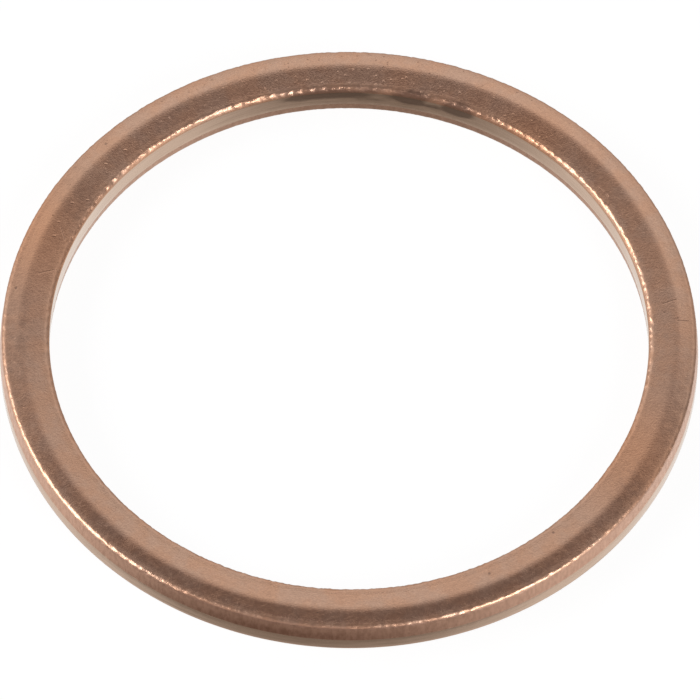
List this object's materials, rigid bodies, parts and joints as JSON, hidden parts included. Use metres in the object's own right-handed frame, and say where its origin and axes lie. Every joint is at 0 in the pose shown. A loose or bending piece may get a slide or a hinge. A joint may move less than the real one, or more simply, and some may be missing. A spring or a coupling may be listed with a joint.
{
  "type": "drain plug sealing washer",
  "caption": "Thin copper sealing ring: a flat washer with a plain bore, a crowned upper face and rolled edges, for sealing a drain plug.",
  "frame": {"origin": "centre of the bore, on the flat face that the ring lies on", "axes": "+Z along the bore, from the flat face to the crowned face; X and Y are free, because the ring is round"},
  "size_m": [0.026, 0.0258, 0.0014],
  "materials": {
    "copper": "satin, tumbled"
  },
  "bodies": {
    "root": {"sealing_ring": "copper"}
  },
  "joints": []
}
